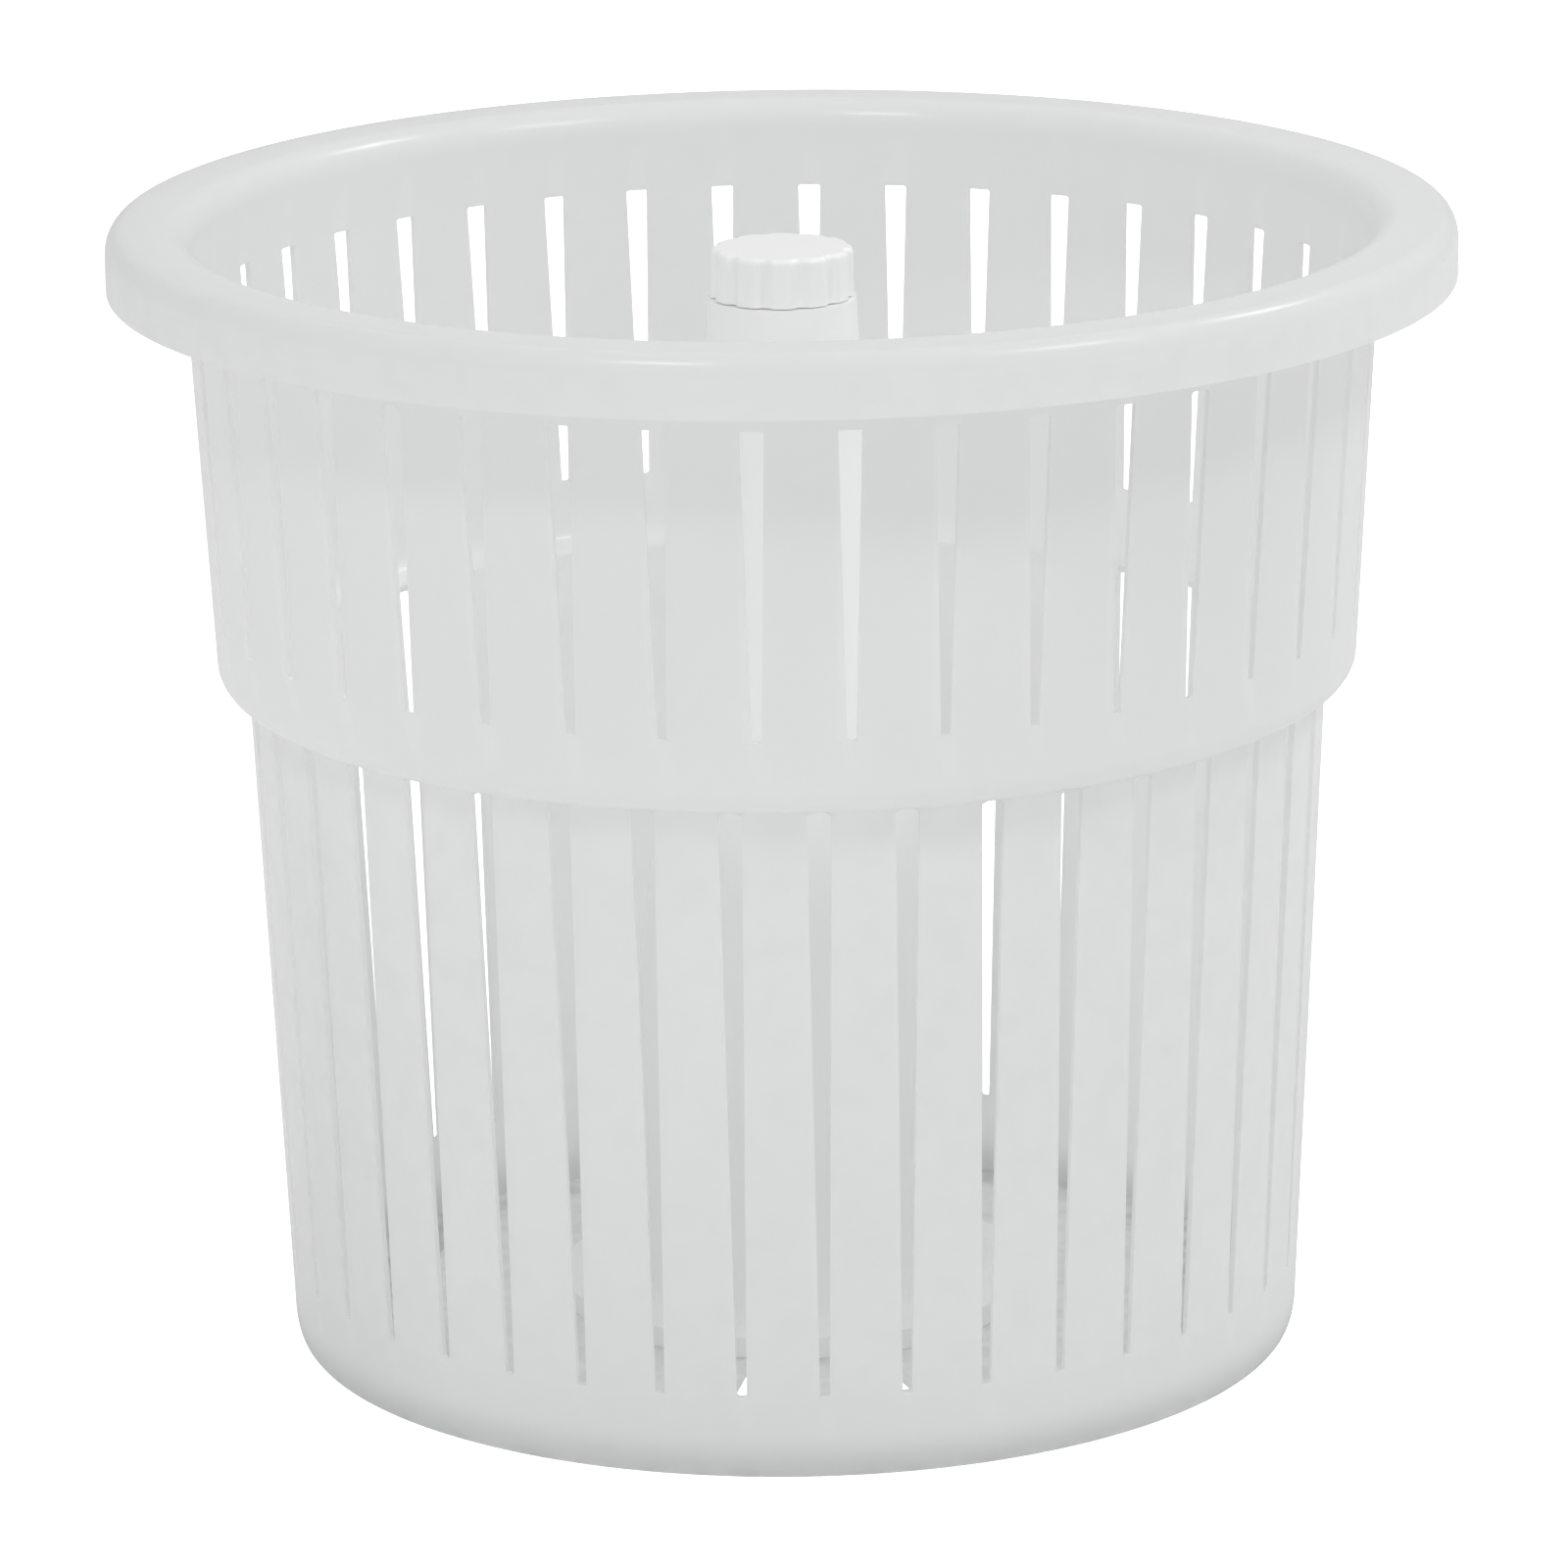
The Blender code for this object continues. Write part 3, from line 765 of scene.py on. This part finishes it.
def make_screw(node, size, surface):
    """A pan-head screw pointing up, with thread ridges and a six-sided socket."""
    radius, length, head_radius, head_height = size
    low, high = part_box(node)
    under_head = low.z + head_height
    outline = [(0, -head_height)]
    pan_centre = (head_radius * 0.6, -head_height * 0.45)
    outline += arc(pan_centre, (head_radius * 0.4, head_height * 0.55), -90, 0, 5)
    outline += [(head_radius, -0.0001), (head_radius - 0.0001, 0), (radius * 0.86, 0)]
    ridges = int((length - radius) / THREAD_PITCH)
    for ridge in range(1, ridges + 1):
        outline += [(radius * 0.86, (ridge - 0.4) * THREAD_PITCH), (radius, ridge * THREAD_PITCH)]
    outline += [(radius * 0.86, length - radius * 0.8), (radius * 0.5, length), (0, length)]
    screw = turned(f"{node}_turned", outline, 32)
    cut_with(screw, rod(head_radius * 0.42, -head_height * 2, -head_height * 0.4, 6))
    smooth(screw, 35)
    move(screw, (*((low + high) / 2).xy, under_head))
    finish_piece(screw, "basket", "stainless", surface, node)


def make_bush(surface):
    low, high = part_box("pivot_bush")
    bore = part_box("thrust_washer")[1].x - WASHER_WIDTH
    body, neck = high.x - BUSH_FLANGE[0], high.x - BUSH_NECK_INSET
    flange = foot_bottom
    flange_top = flange + BUSH_FLANGE[1]
    outline = [(bore, high.z), (neck, high.z), (neck, flange_top), (high.x, flange_top)]
    outline += [(high.x, flange), (body, flange), (body, low.z), (bore, low.z)]
    bush = turned("bush_turned", outline, 96)
    round_edges(bush, COLUMN_EDGE)
    smooth(bush)
    finish_piece(bush, "basket", "pivot_acetal", surface, "pivot_bush")


def make_sleeve(surface):
    """The sleeve on the bowl's pin, with its collar below and the clip's groove above."""
    low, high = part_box("pivot_sleeve")
    clip_low, clip_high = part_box("retaining_clip")
    radius = high.x - COLLAR[0]
    bore, groove = radius - SLEEVE_WALL, radius - GROOVE_DEPTH
    groove_top, groove_bottom = clip_high.z + GAP, clip_low.z - GAP
    collar_top = low.z + COLLAR[1]
    outline = [(bore, high.z), (radius, high.z), (radius, groove_top), (groove, groove_top)]
    outline += [(groove, groove_bottom), (radius, groove_bottom), (radius, collar_top)]
    outline += [(high.x, collar_top), (high.x, low.z), (bore, low.z)]
    sleeve = turned("sleeve_turned", outline, 96)
    round_edges(sleeve, RING_EDGE)
    smooth(sleeve)
    finish_piece(sleeve, "pivot", "stainless", surface, "pivot_sleeve")


def make_thrust_washer(surface):
    low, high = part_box("thrust_washer")
    bore = high.x - WASHER_WIDTH
    outline = [(bore, high.z), (high.x, high.z), (high.x, low.z), (bore, low.z)]
    washer = turned("thrust_washer_ring", outline, 96)
    round_edges(washer, RING_EDGE)
    smooth(washer)
    finish_piece(washer, "pivot", "pivot_acetal", surface, "thrust_washer")


def make_clip(surface):
    """A sprung ring, open at the front."""
    low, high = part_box("retaining_clip")
    bore = high.x - CLIP_WIDTH
    outline = [(bore, high.z), (high.x, high.z), (high.x, low.z), (bore, low.z)]
    clip = turned("clip_ring", outline, 96)
    place = (0, -high.x)
    opening = rod(CLIP_OPENING * math.sqrt(2), low.z - WALL, high.z + WALL, 4, place)
    activate(opening)
    pivot = (*place, low.z)
    bpy.ops.transform.rotate(value=math.pi / 4, orient_axis="Z", center_override=pivot)
    bpy.ops.transform.resize(value=(1, CLIP_STRETCH, 1), center_override=pivot)
    cut_with(clip, opening)
    round_edges(clip, RING_EDGE)
    smooth(clip)
    finish_piece(clip, "pivot", "stainless", surface, "retaining_clip")


# ---------------------------------------------------------------- stage


def make_floor():
    """A pale, softly glowing floor, like a light table: brightest where it is seen directly."""
    bpy.ops.mesh.primitive_plane_add(size=14, location=(0, 3, cad_box[0][2]))
    floor = bpy.context.active_object
    floor.name = "floor"
    settle(floor)
    made, tree, shader = new_material(
        "pale_floor", Base_Color=(0.7, 0.7, 0.7, 1), Roughness=0.9, Emission_Color=(1, 1, 1, 1)
    )
    path = tree.nodes.new("ShaderNodeLightPath")
    extra_glow = FLOOR_GLOW[1] - FLOOR_GLOW[0]
    glow = math_node(tree, "MULTIPLY_ADD", path.outputs["Is Camera Ray"], extra_glow)
    glow.node.inputs[2].default_value = FLOOR_GLOW[0]
    tree.links.new(glow, shader.inputs["Emission Strength"])
    floor.data.materials.append(made)


def make_world():
    world = bpy.data.worlds.new("studio")
    bpy.context.scene.world = world
    world.use_nodes = True
    background = world.node_tree.nodes["Background"]
    background.inputs["Color"].default_value = (1, 1, 1, 1)
    background.inputs["Strength"].default_value = WORLD_STRENGTH


def make_light(name, bearing, rise, size, power):
    """A soft box on a circle round the object; its bearing is counted like every angle here."""
    light = bpy.data.lights.new(name, "AREA")
    light.shape = "RECTANGLE"
    light.size, light.size_y = size
    light.energy = power
    lamp = bpy.data.objects.new(name, light)
    bpy.context.scene.collection.objects.link(lamp)
    lamp.location = polar(LIGHT_REACH, bearing, rise)
    aim = Vector((0, 0, rim_top)) - lamp.location
    lamp.rotation_euler = aim.to_track_quat("-Z", "Y").to_euler()


WORLD_STRENGTH = 0.61
# The floor's glow in other rays, and where the camera sees it
FLOOR_GLOW = (0.30, 1.0)
LIGHT_BOUNCES = 12
LIGHT_REACH = 1.5
CAMERA_REACH = 12.7096
CAMERA_RISE = 2.5633
CAMERA_PITCH = -0.26442
CAMERA_YAW = -0.00055
CAMERA_ROLL = -0.0136
CAMERA_LENS = 200.75


def make_camera():
    """Seen from the front, a little above the rim; reach and rise are counted in rim radii."""
    lens = bpy.data.cameras.new("front_view")
    lens.sensor_width = 36
    lens.lens = CAMERA_LENS
    lens.clip_end = 50
    camera = bpy.data.objects.new("front_view", lens)
    bpy.context.scene.collection.objects.link(camera)
    turn = Matrix.Rotation(-CAMERA_YAW, 4, "Z") @ Matrix.Rotation(math.pi / 2 + CAMERA_PITCH, 4, "X")
    turn = turn @ Matrix.Rotation(CAMERA_ROLL, 4, "Z")
    place = Vector((0, -CAMERA_REACH * rim_radius, rim_top + CAMERA_RISE * rim_radius))
    camera.matrix_world = Matrix.Translation(place) @ turn
    bpy.context.scene.camera = camera


make_floor()
make_world()
make_light("front_left_box", -25, 2.0, (0.45, 0.35), 7)
make_light("front_right_box", 60, 2.0, (0.6, 0.35), 7)
make_light("back_right_box", 118, 1.8, (0.5, 0.35), 7)
make_camera()
bpy.context.scene.view_settings.view_transform = "Standard"
bpy.context.scene.cycles.max_bounces = LIGHT_BOUNCES
bpy.context.scene.cycles.diffuse_bounces = LIGHT_BOUNCES

# The basket's colour darkens over its lowest 14 mm as painted shade
basket_surface = moulded_plastic(
    "milky_polypropylene", (0.952, 0.954, 0.954), (0.80, 0.804, 0.806), 0.20, sheer=0.54,
    painted_shade_below=(0.0, 0.014),
)
column_surface = moulded_plastic(
    "white_polypropylene", (0.97, 0.972, 0.973), (0.93, 0.936, 0.938), 0.30
)
acetal_surface = moulded_plastic("grey_acetal", (0.30, 0.31, 0.32), (0.24, 0.25, 0.26), 0.42)
steel_surface = turned_metal("stainless_steel", (0.66, 0.66, 0.67), (0.54, 0.54, 0.55), 0.24)
brass_surface = turned_metal("machined_brass", (0.76, 0.58, 0.28), (0.62, 0.46, 0.20), 0.30)

make_basket(basket_surface)
make_column(column_surface)
make_crown(column_surface)
make_bush(acetal_surface)
make_thrust_washer(acetal_surface)
make_sleeve(steel_surface)
make_clip(steel_surface)
make_screw("crown_screw", CROWN_SCREW, steel_surface)
for number in range(1, 7):
    make_screw(f"foot_screw_{number}", FOOT_SCREW, steel_surface)

carried_over = {"crown_washer": steel_surface, "crown_insert": brass_surface}
carried_over.update({f"foot_insert_{number}": brass_surface for number in range(1, 7)})
for node, surface in carried_over.items():
    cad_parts[node].data.materials.clear()
    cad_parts[node].data.materials.append(surface)
